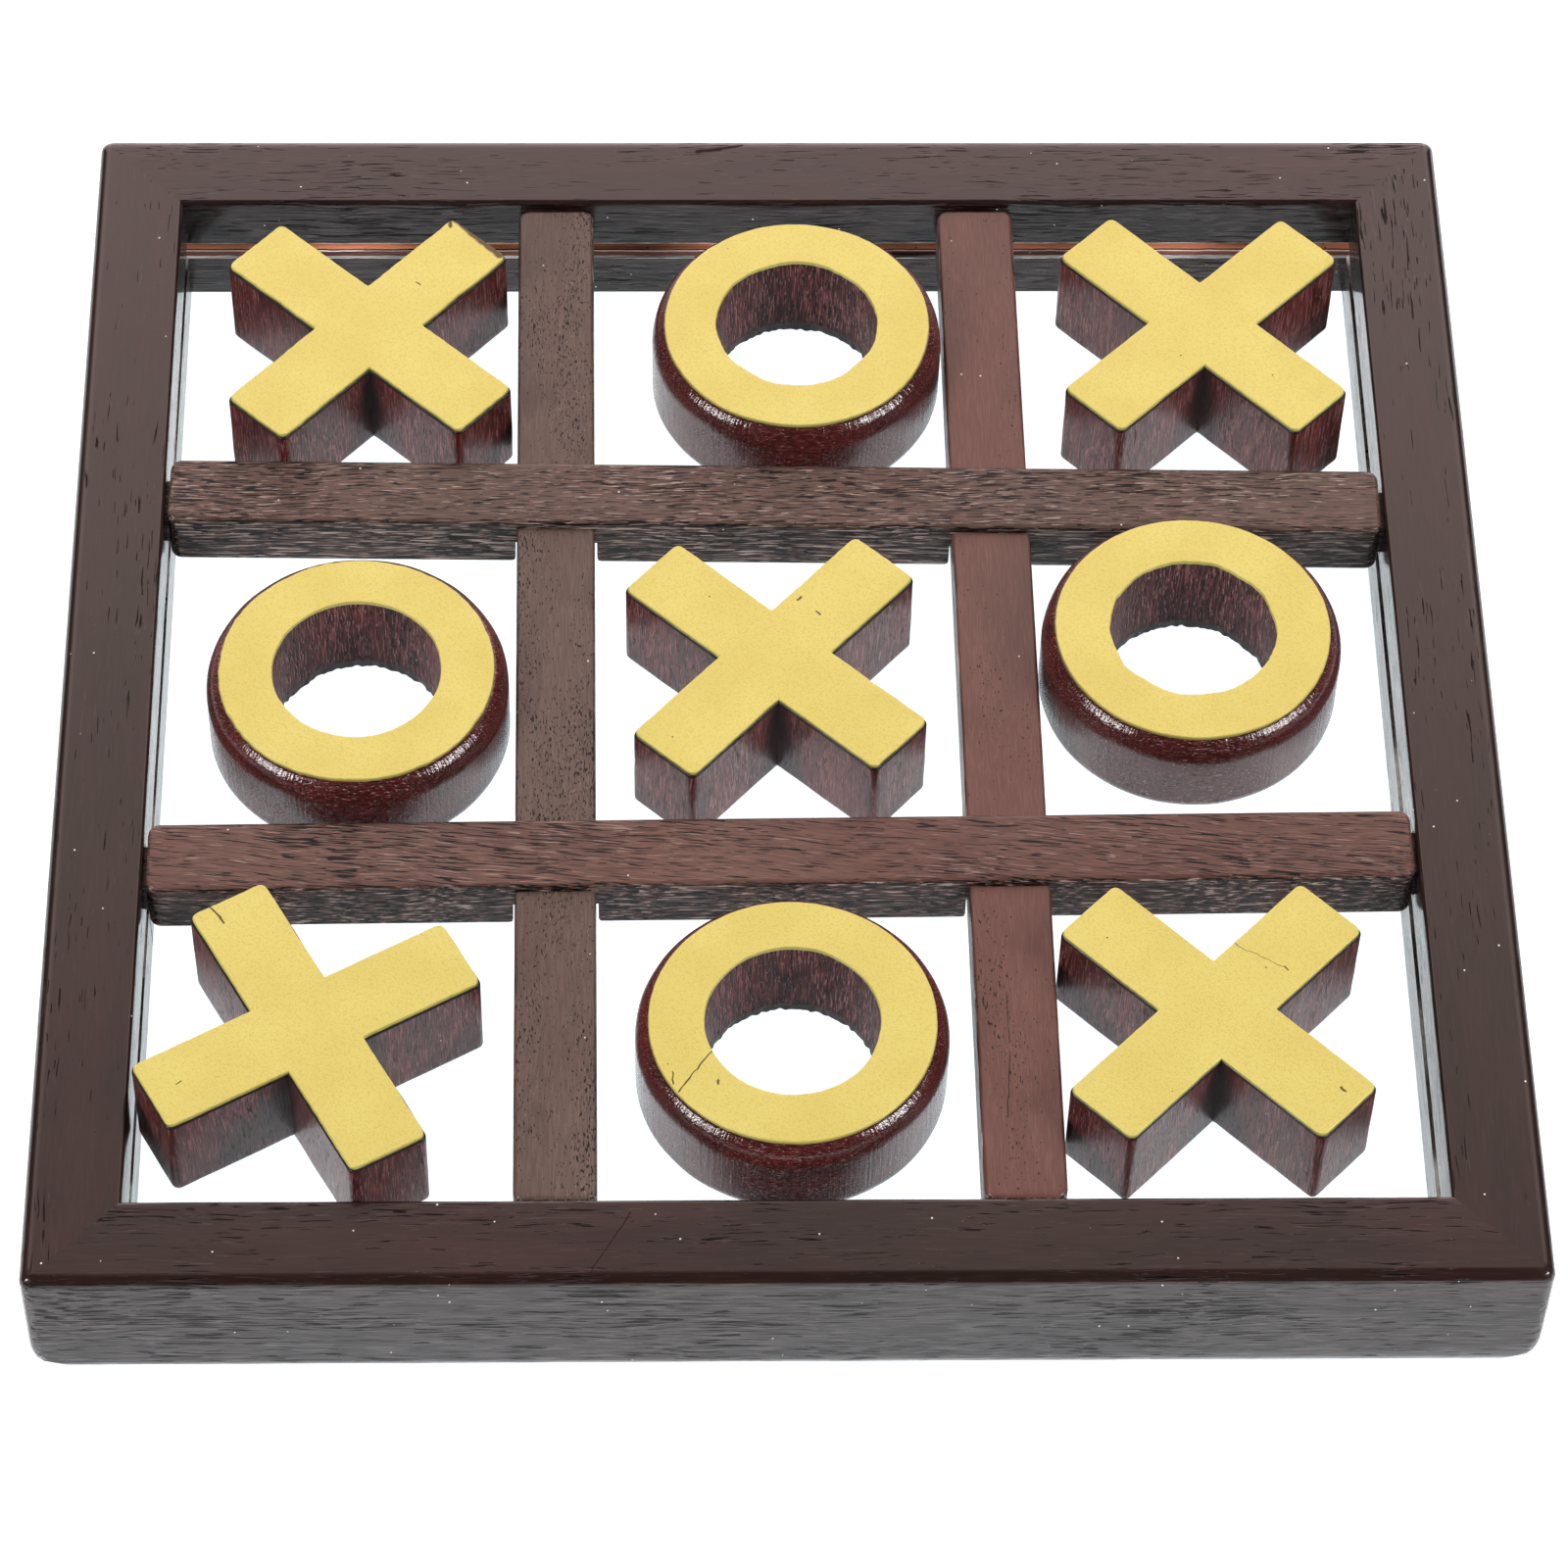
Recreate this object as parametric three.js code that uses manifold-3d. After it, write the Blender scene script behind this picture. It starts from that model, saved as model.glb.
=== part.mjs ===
// Tic tac toe set: a mitred wooden frame that holds a glass sheet and a grid of four bars, with five
// X pieces and four O pieces standing on the glass. Lengths are in millimetres and angles in degrees.
// +X is right, +Y is the rear, +Z is up, and the origin is the centre of the frame's underside.

import * as THREE from 'three';
import Module from 'manifold-3d';
import { mergeVertices } from 'three/addons/utils/BufferGeometryUtils.js';

const wasm = await Module();
wasm.setup();
const { Manifold } = wasm;

// ---- Frame ----
const frameSide = 150;
const frameHeight = 16;
const railWidth = 9.6;
const topEdgeRadius = 1;
const bottomEdgeRadius = 0.6;
const cornerRadius = 1.2;
const cornerRadiusAtBottom = 4.4;
const cornerRoundingHeight = 4.4;
const innerEdgeRadius = 0.5;
const openingHalf = frameSide / 2 - railWidth;

// ---- Glass sheet, lying on the lower side of a groove that is wider than the sheet ----
const glassThickness = 2.2;
const glassTop = 8;
const glassArris = 0.2;
const glassBottom = glassTop - glassThickness;
const grooveTop = glassTop + 1.2;
const grooveDepth = 2.4;
const grooveEndGap = 0.2;

// ---- Grid bars, whose undersides clear the glass ----
const barWidth = 8.3;
const barBottom = grooveTop;
const barEdgeRadius = 0.4;
const barCornerRadius = 1.2;
const barEndGap = 0.4;
const barHalfLength = openingHalf - barEndGap;
const barSpacing = 23.3;
const lapHeight = 12.6;
const lapGap = 0.25;
const lapMouthRadius = 0.8;
const tenonWidth = 5;
const tenonHeight = 4;
const tenonBottom = 10.2;
const tenonReach = 1.8;
const tenonGap = 0.3;

// Each bar: the side of the board it is on, its direction, where its centre line lies off the nominal
// spacing, how far it is turned out of square, and the height of its top.
const bars = [
  { side: 'rear', along: 'x', offset: barSpacing + 0.2, turn: -0.8, top: frameHeight },
  { side: 'front', along: 'x', offset: -barSpacing, turn: 0.6, top: frameHeight },
  { side: 'left', along: 'y', offset: -barSpacing - 0.1, turn: 0.4, top: frameHeight - 0.8 },
  { side: 'right', along: 'y', offset: barSpacing - 0.1, turn: 0.3, top: frameHeight - 0.8 },
];

// ---- Playing pieces: a wooden block with a brass face glued on top ----
const blockHeight = 11.2;
const faceThickness = 0.4;
const xLength = 35.3;
const xArmWidth = 8.7;
const xTipRadius = 0.9;
const xEdgeBevel = 0.25;
const xFaceInset = 0.15;
const faceEdgeBevel = 0.12;
const oOuterRadius = 15.85;
const oHoleRadius = 8.7;
const oFaceRadius = 14.5;
const oShoulderWidth = 1.3;
const oShoulderDrop = 1.8;
const oFootDrop = 1.5;
const oHoleBevel = 0.3;
const ringSegments = 56;

// Each piece: its kind, its cell (column and row from -1 to 1), how far it stands off the middle of
// the cell, and how far it is turned. An X with no turn has its arms along the cell's diagonals.
const cellPitch = 46.5;
const pieces = [
  { kind: 'x', cell: 'rear_left', column: -1, row: 1, shift: [2.5, -2.25], turn: 2.3 },
  { kind: 'o', cell: 'rear_middle', column: 0, row: 1, shift: [2.6, -1.9], turn: 0 },
  { kind: 'x', cell: 'rear_right', column: 1, row: 1, shift: [0.4, -1.9], turn: -0.7 },
  { kind: 'o', cell: 'middle_left', column: -1, row: 0, shift: [2.5, -2.6], turn: 0 },
  { kind: 'x', cell: 'centre', column: 0, row: 0, shift: [-0.4, -0.8], turn: 2.7 },
  { kind: 'o', cell: 'middle_right', column: 1, row: 0, shift: [-3, 2.6], turn: 0 },
  { kind: 'x', cell: 'front_left', column: -1, row: -1, shift: [-1.2, -0.5], turn: -15.6 },
  { kind: 'o', cell: 'front_middle', column: 0, row: -1, shift: [0.7, -0.3], turn: 0 },
  { kind: 'x', cell: 'front_right', column: 1, row: -1, shift: [-3.3, 0.9], turn: 0.4 },
];

// ---- Materials ----
const frameWood = new THREE.MeshStandardMaterial({ color: 0x4a3b37, roughness: 0.35 });
const barWood = new THREE.MeshStandardMaterial({ color: 0x6b524b, roughness: 0.5 });
const pieceWood = new THREE.MeshStandardMaterial({ color: 0x54332d, roughness: 0.4 });
const brass = new THREE.MeshStandardMaterial({ color: 0xe9d27c, roughness: 0.45, metalness: 0.8 });
const glass = new THREE.MeshStandardMaterial({
  color: 0xeef5f2,
  roughness: 0.05,
  transparent: true,
  opacity: 0.3,
});

// ---- Conversions between three.js geometry and manifold solids ----
function solidFrom(geometry) {
  const bare = geometry.clone();
  bare.deleteAttribute('normal');
  bare.deleteAttribute('uv');
  const merged = mergeVertices(bare, 1e-4);
  const mesh = new wasm.Mesh({
    numProp: 3,
    vertProperties: new Float32Array(merged.attributes.position.array),
    triVerts: new Uint32Array(merged.index.array),
  });
  return new Manifold(mesh);
}

function geometryFrom(solid) {
  const mesh = solid.getMesh();
  const geometry = new THREE.BufferGeometry();
  geometry.setAttribute('position', new THREE.BufferAttribute(mesh.vertProperties, 3));
  geometry.setIndex(new THREE.BufferAttribute(mesh.triVerts, 1));
  geometry.computeVertexNormals();
  return geometry;
}

function meshFrom(name, solid, material) {
  const mesh = new THREE.Mesh(geometryFrom(solid), material);
  mesh.name = name;
  return mesh;
}

// The solid, given in the frame of one matrix, as it lies in the frame of another.
function movedBetween(solid, from, to) {
  const matrix = to.clone().invert().multiply(from);
  return solid.transform(matrix.toArray());
}

// ---- Basic shapes ----
function box(width, depth, height, bottom) {
  return Manifold.cube([width, depth, height]).translate([-width / 2, -depth / 2, bottom]);
}

// Points along an arc in the XY plane, from one angle to another.
function arcPoints(centreX, centreY, radius, startDegrees, endDegrees, steps) {
  const points = [];
  for (let step = 0; step <= steps; step += 1) {
    const angle = THREE.MathUtils.degToRad(startDegrees + ((endDegrees - startDegrees) * step) / steps);
    points.push(new THREE.Vector2(centreX + radius * Math.cos(angle), centreY + radius * Math.sin(angle)));
  }
  return points;
}

// The outline of a rectangle with round corners.
function roundedRectangle(length, width, radius, steps) {
  const x = length / 2 - radius;
  const y = width / 2 - radius;
  return [
    ...arcPoints(x, y, radius, 0, 90, steps),
    ...arcPoints(-x, y, radius, 90, 180, steps),
    ...arcPoints(-x, -y, radius, 180, 270, steps),
    ...arcPoints(x, -y, radius, 270, 360, steps),
  ];
}

// A plate with its bottom at z = 0, from an outline, with the top and bottom edges bevelled.
function plate(outline, height, bevel, bevelSteps) {
  const geometry = new THREE.ExtrudeGeometry(new THREE.Shape(outline), {
    depth: height - 2 * bevel,
    bevelThickness: bevel,
    bevelSize: bevel,
    bevelOffset: -bevel,
    bevelSegments: bevelSteps,
  });
  geometry.translate(0, 0, bevel);
  return solidFrom(geometry);
}

// A stack of square slices, where each level gives a height and half the side of the square there.
function squareStack(levels) {
  const slices = [];
  for (let i = 1; i < levels.length; i += 1) {
    const low = levels[i - 1];
    const high = levels[i];
    const slice = Manifold.cylinder(high.z - low.z, low.half * Math.SQRT2, high.half * Math.SQRT2, 4);
    slices.push(slice.rotate([0, 0, 45]).translate([0, 0, low.z]));
  }
  return Manifold.union(slices);
}

// A solid turned from a closed profile of radius and height.
function turned(profile) {
  const points = profile.map(([radius, height]) => new THREE.Vector2(radius, height));
  points.push(points[0].clone());
  const geometry = new THREE.LatheGeometry(points, ringSegments);
  geometry.rotateX(Math.PI / 2);
  return solidFrom(geometry);
}

// ---- Frame ----
// The outside of the frame: square, with rounded edges and with corners that are rounder at the bottom.
function frameOutside() {
  const half = frameSide / 2;
  const levels = [];
  for (const share of arcPoints(0, 1, 1, 270, 360, 4)) {
    const z = cornerRoundingHeight * share.y;
    const corner = cornerRadiusAtBottom + (cornerRadius - cornerRadiusAtBottom) * share.x;
    levels.push({ z, inset: Math.max(0, bottomEdgeRadius - z), corner });
  }
  for (const point of arcPoints(0, frameHeight - topEdgeRadius, topEdgeRadius, 0, 90, 3)) {
    levels.push({ z: point.y, inset: topEdgeRadius - point.x, corner: cornerRadius });
  }
  const points = [];
  for (const level of levels) {
    const side = 2 * (half - level.inset);
    for (const point of roundedRectangle(side, side, level.corner, 4)) {
      points.push([point.x, point.y, level.z]);
    }
  }
  return Manifold.hull(points);
}

// The square opening through the frame, flared at the top where the rails' inner edges are rounded.
function frameOpening() {
  const flare = [];
  for (const point of arcPoints(0, 0, innerEdgeRadius, 180, 90, 3)) {
    const z = frameHeight - innerEdgeRadius + point.y;
    flare.push({ z, half: openingHalf + innerEdgeRadius + point.x });
  }
  return squareStack([
    { z: -1, half: openingHalf },
    ...flare,
    { z: frameHeight + 1, half: openingHalf + innerEdgeRadius },
  ]);
}

function glassGroove() {
  const side = 2 * (openingHalf + grooveDepth);
  return box(side, side, grooveTop - glassBottom, glassBottom);
}

// The quarter of the board that the front rail is cut from, bounded by the mitre planes.
function frontQuarter() {
  const reach = frameSide;
  const wedge = new THREE.Shape([
    new THREE.Vector2(0, 0),
    new THREE.Vector2(-reach, -reach),
    new THREE.Vector2(reach, -reach),
  ]);
  const geometry = new THREE.ExtrudeGeometry(wedge, { depth: frameHeight + 2, bevelEnabled: false });
  geometry.translate(0, 0, -1);
  return solidFrom(geometry);
}

function rails() {
  let ring = frameOutside().subtract(frameOpening()).subtract(glassGroove());
  for (const bar of bars) {
    ring = ring.subtract(movedBetween(barTenon(tenonGap), barMatrix(bar), new THREE.Matrix4()));
  }
  const sides = ['front', 'right', 'rear', 'left'];
  return sides.map((side, quarter) => {
    const rail = ring.intersect(frontQuarter().rotate([0, 0, 90 * quarter]));
    return meshFrom(`frame_rail_${side}`, rail, frameWood);
  });
}

// ---- Glass ----
function glassPanel() {
  const half = openingHalf + grooveDepth - grooveEndGap;
  const sheet = squareStack([
    { z: glassBottom, half: half - glassArris },
    { z: glassBottom + glassArris, half },
    { z: glassTop - glassArris, half },
    { z: glassTop, half: half - glassArris },
  ]);
  return meshFrom('glass_panel', sheet, glass);
}

// ---- Grid bars ----
// Where a bar lies: its own X runs along it, and its own Z starts at the frame's underside.
function barMatrix(bar) {
  const turn = bar.turn + (bar.along === 'y' ? 90 : 0);
  const matrix = new THREE.Matrix4().makeRotationZ(THREE.MathUtils.degToRad(turn));
  const position = bar.along === 'x' ? [0, bar.offset, 0] : [bar.offset, 0, 0];
  return matrix.setPosition(...position);
}

// The stub tenons at both ends of a bar as one strip, or with a gap their mortises in the rails.
function barTenon(gap) {
  const length = 2 * (openingHalf + tenonReach + gap);
  return box(length, tenonWidth + 2 * gap, tenonHeight + 2 * gap, tenonBottom - gap);
}

// What a bar along X loses where a bar along Y passes under it: a slot with a rounded mouth.
function lapFromBelow() {
  const half = barWidth / 2 + lapGap;
  const flared = half + lapMouthRadius;
  const outline = [
    new THREE.Vector2(-flared, barBottom - 1),
    new THREE.Vector2(flared, barBottom - 1),
    ...arcPoints(flared, barBottom + lapMouthRadius, lapMouthRadius, 270, 180, 3),
    new THREE.Vector2(half, lapHeight),
    new THREE.Vector2(-half, lapHeight),
    ...arcPoints(-flared, barBottom + lapMouthRadius, lapMouthRadius, 0, -90, 3),
  ];
  const depth = 3 * barWidth;
  const geometry = new THREE.ExtrudeGeometry(new THREE.Shape(outline), { depth, bevelEnabled: false });
  geometry.translate(0, 0, -depth / 2);
  geometry.rotateX(Math.PI / 2);
  return solidFrom(geometry).rotate([0, 0, 90]);
}

// What a bar along Y loses where a bar along X passes over it: a square-edged slot.
function lapFromAbove() {
  return box(3 * barWidth, barWidth + 2 * lapGap, frameHeight, lapHeight);
}

function gridBar(bar) {
  const matrix = barMatrix(bar);
  const outline = roundedRectangle(2 * barHalfLength, barWidth, barCornerRadius, 4);
  let solid = plate(outline, bar.top - barBottom, barEdgeRadius, 2).translate([0, 0, barBottom]);
  solid = solid.add(barTenon(0));
  for (const other of bars.filter((candidate) => candidate.along !== bar.along)) {
    const crossing = crossingMatrix(bar, other);
    const slot = bar.along === 'x' ? lapFromBelow() : lapFromAbove();
    solid = solid.subtract(movedBetween(slot, crossing, matrix));
  }
  const mesh = meshFrom(`grid_bar_${bar.side}`, solid, barWood);
  mesh.applyMatrix4(matrix);
  return mesh;
}

// The crossing of two bars: at the point where their centre lines meet, turned as the other bar is.
function crossingMatrix(bar, other) {
  const ownMatrix = barMatrix(bar);
  const otherMatrix = barMatrix(other);
  const ownPoint = new THREE.Vector3().setFromMatrixPosition(ownMatrix);
  const ownDirection = new THREE.Vector3().setFromMatrixColumn(ownMatrix, 0);
  const otherPoint = new THREE.Vector3().setFromMatrixPosition(otherMatrix);
  const otherNormal = new THREE.Vector3().setFromMatrixColumn(otherMatrix, 1);
  const distance = otherPoint.sub(ownPoint).dot(otherNormal) / ownDirection.dot(otherNormal);
  return otherMatrix.clone().setPosition(ownPoint.addScaledVector(ownDirection, distance));
}

// ---- X pieces ----
// The outline of an X with four equal arms, each along an axis, with rounded tips.
function crossOutline(length, width, radius) {
  const tip = length / 2 - radius;
  const side = width / 2 - radius;
  const arm = [
    ...arcPoints(tip, -side, radius, -90, 0, 3),
    ...arcPoints(tip, side, radius, 0, 90, 3),
    new THREE.Vector2(width / 2, width / 2),
  ];
  const origin = new THREE.Vector2();
  const outline = [];
  for (let quarter = 0; quarter < 4; quarter += 1) {
    for (const point of arm) {
      outline.push(point.clone().rotateAround(origin, (quarter * Math.PI) / 2));
    }
  }
  return outline;
}

function xBlock() {
  return plate(crossOutline(xLength, xArmWidth, xTipRadius), blockHeight, xEdgeBevel, 2);
}

function xFace() {
  const outline = crossOutline(xLength - 2 * xFaceInset, xArmWidth - 2 * xFaceInset, xTipRadius - xFaceInset);
  const sheet = plate(outline, 2 * faceThickness, faceEdgeBevel, 1);
  return sheet.translate([0, 0, -faceThickness]).trimByPlane([0, 0, 1], 0);
}

// ---- O pieces ----
function oBlock() {
  const footRadius = oOuterRadius - oShoulderWidth;
  return turned([
    [oHoleRadius + oHoleBevel, 0],
    [footRadius, 0],
    [oOuterRadius - 0.3 * oShoulderWidth, 0.45 * oFootDrop],
    [oOuterRadius, oFootDrop],
    [oOuterRadius, blockHeight - oShoulderDrop],
    [oOuterRadius - 0.3 * oShoulderWidth, blockHeight - 0.45 * oShoulderDrop],
    [footRadius, blockHeight],
    [oHoleRadius, blockHeight],
    [oHoleRadius, oHoleBevel],
  ]);
}

function oFace() {
  return turned([
    [oHoleRadius + faceEdgeBevel / 2, 0],
    [oFaceRadius, 0],
    [oFaceRadius, faceThickness - faceEdgeBevel],
    [oFaceRadius - faceEdgeBevel, faceThickness],
    [oHoleRadius + faceEdgeBevel, faceThickness],
    [oHoleRadius + faceEdgeBevel / 2, faceThickness - faceEdgeBevel],
  ]);
}

function playingPiece(piece) {
  const isX = piece.kind === 'x';
  const group = new THREE.Group();
  const block = meshFrom(`${piece.kind}_block_${piece.cell}`, isX ? xBlock() : oBlock(), pieceWood);
  const face = meshFrom(`${piece.kind}_face_${piece.cell}`, isX ? xFace() : oFace(), brass);
  face.position.z = blockHeight;
  group.add(block, face);
  const x = piece.column * cellPitch + piece.shift[0];
  const y = piece.row * cellPitch + piece.shift[1];
  group.position.set(x, y, glassTop);
  group.rotation.z = THREE.MathUtils.degToRad(piece.turn + (isX ? 45 : 0));
  return group;
}

// ---- The whole set ----
const set = new THREE.Group();
set.add(...rails(), glassPanel());
set.add(...bars.map(gridBar));
set.add(...pieces.map(playingPiece));

export default set;
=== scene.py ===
"""Looks of the tic tac toe set.

It adds detailed playing pieces, procedural wood, gold and glass, a floor, light and a camera. The scene is
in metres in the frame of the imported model: +X right, +Y rear, +Z up, floor at z = 0. Sizes written here are
in millimetres unless they say otherwise.
"""

import math

import bpy
from mathutils import Matrix, Vector, noise


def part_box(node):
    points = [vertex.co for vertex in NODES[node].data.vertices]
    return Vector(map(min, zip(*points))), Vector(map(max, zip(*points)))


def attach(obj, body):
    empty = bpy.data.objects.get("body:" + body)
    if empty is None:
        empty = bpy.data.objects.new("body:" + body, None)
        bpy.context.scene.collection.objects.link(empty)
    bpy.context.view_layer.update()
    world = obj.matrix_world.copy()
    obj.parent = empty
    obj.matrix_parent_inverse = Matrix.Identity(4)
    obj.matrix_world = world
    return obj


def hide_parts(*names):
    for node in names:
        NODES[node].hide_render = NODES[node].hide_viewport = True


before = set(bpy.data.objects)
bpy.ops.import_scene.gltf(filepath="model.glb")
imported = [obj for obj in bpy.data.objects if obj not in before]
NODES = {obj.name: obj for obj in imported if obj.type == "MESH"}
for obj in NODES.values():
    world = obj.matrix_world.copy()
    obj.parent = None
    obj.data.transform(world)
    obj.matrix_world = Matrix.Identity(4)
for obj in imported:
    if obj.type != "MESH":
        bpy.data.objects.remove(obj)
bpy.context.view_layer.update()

MM = 0.001

# ---- Sizes of the playing pieces, in millimetres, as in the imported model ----
X_LENGTH = 35.3
X_ARM_WIDTH = 8.7
X_TIP_RADIUS = 0.9
O_OUTER_RADIUS = 15.85
O_HOLE_RADIUS = 8.7
O_FACE_RADIUS = 14.5
FACE_INSET = 0.15
CORNER_STEPS = 6
OUTLINE_SPACING = 0.25
RING_STEPS = 360

# ---- The groove that holds the glass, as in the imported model, and the space round it that is painted ----
GROOVE_REACH = 70.0
GROOVE_LOW = 5.75
GROOVE_HIGH = 9.25

# ---- Angles above which an edge stays sharp, in degrees ----
PIECE_CREASE = 38
BOARD_CREASE = 50


# ---------------------------------------------------------------------------------------------
# Meshes
# ---------------------------------------------------------------------------------------------
def rounded_loop(corners, steps):
    """A closed outline through corners (x, y, reach), each rounded off over its reach unless that is 0."""
    loop = []
    for index, (x, y, reach) in enumerate(corners):
        here = Vector((x, y))
        if not reach:
            loop.append(here)
            continue
        before = Vector(corners[index - 1][:2])
        after = Vector(corners[(index + 1) % len(corners)][:2])
        start = here + (before - here).normalized() * reach
        end = here + (after - here).normalized() * reach
        for step in range(steps + 1):
            t = step / steps
            loop.append(start * (1 - t) ** 2 + here * (2 * t * (1 - t)) + end * t ** 2)
    return loop


def subdivided(loop, spacing):
    """The same closed outline with points at most the spacing apart."""
    fine = []
    for index, here in enumerate(loop):
        after = loop[(index + 1) % len(loop)]
        pieces = max(1, math.ceil((after - here).length / spacing))
        fine.extend(here.lerp(after, part / pieces) for part in range(pieces))
    return fine


def inset_loop(loop, amount):
    """The outline moved inwards; it runs anticlockwise. The amount is a number or a function of a point."""
    moved = []
    for index, here in enumerate(loop):
        tangent = (loop[(index + 1) % len(loop)] - loop[index - 1]).normalized()
        inward = Vector((-tangent.y, tangent.x))
        moved.append(here + inward * (amount(here) if callable(amount) else amount))
    return moved


def mesh_object(name, vertices, faces, material):
    """A mesh from vertices in millimetres, smooth except at sharp edges."""
    mesh = bpy.data.meshes.new(name)
    mesh.from_pydata([Vector(vertex) * MM for vertex in vertices], [], faces)
    mesh.validate()
    mesh.shade_smooth()
    mesh.set_sharp_from_angle(angle=math.radians(PIECE_CREASE))
    mesh.materials.append(material)
    piece = bpy.data.objects.new(name, mesh)
    bpy.context.scene.collection.objects.link(piece)
    keep_flats_flat(piece)
    return piece


def keep_flats_flat(piece):
    """Makes the normals on large faces follow the face, so that only the edges between them look round."""
    normals = piece.modifiers.new("normals", "WEIGHTED_NORMAL")
    normals.keep_sharp = True


def stacked(name, loops, material):
    """A closed solid from outlines stacked from the bottom up, with a flat face at each end."""
    count = len(loops[0])
    vertices = [vertex for loop in loops for vertex in loop]
    faces = [list(range(count))[::-1]]
    for level in range(len(loops) - 1):
        low, high = level * count, (level + 1) * count
        for index in range(count):
            after = (index + 1) % count
            faces.append([low + index, low + after, high + after, high + index])
    faces.append(list(range(len(vertices) - count, len(vertices))))
    return mesh_object(name, vertices, faces, material)


def revolved(name, profile, radius_shift, material, hole_material=None):
    """A ring from a closed profile of (radius, height), its radius shifted at each point and angle."""
    vertices = []
    for step in range(RING_STEPS):
        angle = math.tau * step / RING_STEPS
        for radius, height in profile:
            shifted = radius + radius_shift(radius, height, angle)
            vertices.append((shifted * math.cos(angle), shifted * math.sin(angle), height))
    count = len(profile)
    faces = []
    for step in range(RING_STEPS):
        here, there = step * count, ((step + 1) % RING_STEPS) * count
        for index in range(count):
            after = (index + 1) % count
            faces.append([here + index, there + index, there + after, here + after])
    ring = mesh_object(name, vertices, faces, material)
    if hole_material:
        ring.data.materials.append(hole_material)
        for face in ring.data.polygons:
            face.material_index = int(face.center.xy.length < (O_HOLE_RADIUS + 0.4) * MM)
    return ring


def waviness(x, y, z, seed, size):
    """Smooth noise between 0 and 1, with features of about the given size."""
    place = Vector((x / size, y / size, z / size))
    return 0.5 + 0.5 * noise.noise(place + Vector((seed, 2 * seed, 3 * seed)))


# ---------------------------------------------------------------------------------------------
# Materials
# ---------------------------------------------------------------------------------------------
class Shader:
    """A material's node tree, with short calls for adding nodes to it."""

    def __init__(self, name):
        self.material = bpy.data.materials.new(name)
        self.material.use_nodes = True
        self.tree = self.material.node_tree
        self.tree.nodes.clear()

    def add(self, kind, inputs=None, **settings):
        """A node with its settings; each input takes a number, a colour or another node's output."""
        node = self.tree.nodes.new(kind)
        for key, value in settings.items():
            setattr(node, key, value)
        for key, value in (inputs or {}).items():
            if isinstance(value, bpy.types.NodeSocket):
                self.tree.links.new(value, node.inputs[key])
            else:
                node.inputs[key].default_value = value
        return node

    def math(self, operation, first, second=0.0):
        """The result of a calculation with two values."""
        return self.add("ShaderNodeMath", {0: first, 1: second}, operation=operation).outputs[0]

    def mix(self, factor, first, second):
        """A mix of two colours."""
        node = self.add("ShaderNodeMix", data_type="RGBA")
        for socket, value in ((0, factor), (6, first), (7, second)):
            if isinstance(value, bpy.types.NodeSocket):
                self.tree.links.new(value, node.inputs[socket])
            else:
                node.inputs[socket].default_value = value
        return node.outputs[2]

    def ramp(self, value, low, high):
        """0 where the value is below low, 1 where it is above high, and smooth between."""
        inputs = {"Value": value, "From Min": low, "From Max": high}
        return self.add("ShaderNodeMapRange", inputs, interpolation_type="SMOOTHSTEP").outputs[0]

    def noise(self, vector, scale, detail=2.0, roughness=0.5):
        """Fractal noise between 0 and 1."""
        inputs = {"Vector": vector, "Scale": scale, "Detail": detail, "Roughness": roughness}
        return self.add("ShaderNodeTexNoise", inputs).outputs[0]

    def place(self, own=False):
        """Coordinates in metres in the object, with its own place in the scene added if asked."""
        place = self.add("ShaderNodeTexCoord").outputs["Object"]
        if own:
            spot = self.add("ShaderNodeObjectInfo").outputs["Location"]
            place = self.vector("ADD", place, spot)
        return place

    def vector(self, operation, first, second):
        """The result of a calculation with two vectors."""
        return self.add("ShaderNodeVectorMath", {0: first, 1: second}, operation=operation).outputs[0]

    def bent(self, place, amount, scale):
        """Coordinates pushed about by smooth noise, by up to about half the amount in millimetres."""
        push = self.add("ShaderNodeTexNoise", {"Vector": place, "Scale": scale, "Detail": 1.0})
        centred = self.vector("SUBTRACT", push.outputs["Color"], (0.5, 0.5, 0.5))
        return self.vector("ADD", place, self.vector("MULTIPLY", centred, (amount * MM,) * 3))

    def dots(self, vector, spacing, radius):
        """1 in small round dots scattered through space, and 0 elsewhere."""
        inputs = {"Vector": vector, "Scale": 1 / (spacing * MM)}
        cells = self.add("ShaderNodeTexVoronoi", inputs)
        return self.ramp(cells.outputs["Distance"], 1.15 * radius / spacing, 0.7 * radius / spacing)

    def stroke(self, place, start, end, width):
        """1 along a line between two points (x, y) in millimetres, and 0 farther from it than its width."""
        low = Vector((start[0], start[1], 0)) * MM
        line = Vector((end[0], end[1], 0)) * MM - low
        flat = self.vector("MULTIPLY", place, (1.0, 1.0, 0.0))
        offset = self.vector("SUBTRACT", flat, tuple(low))
        dot = self.add("ShaderNodeVectorMath", {0: offset, 1: tuple(line)}, operation="DOT_PRODUCT")
        inputs = {"Value": dot.outputs["Value"], "From Max": line.length_squared}
        share = self.add("ShaderNodeMapRange", inputs)
        nearest = self.vector("MULTIPLY", share.outputs[0], tuple(line))
        gap = self.add("ShaderNodeVectorMath", {0: offset, 1: nearest}, operation="DISTANCE")
        return self.ramp(gap.outputs["Value"], width * MM, 0.35 * width * MM)

    def strokes(self, place, lines):
        """1 along any of the lines (start, end, width), and 0 elsewhere."""
        mask = None
        for start, end, width in lines:
            line = self.stroke(place, start, end, width)
            mask = line if mask is None else self.math("MAXIMUM", mask, line)
        return mask

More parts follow.
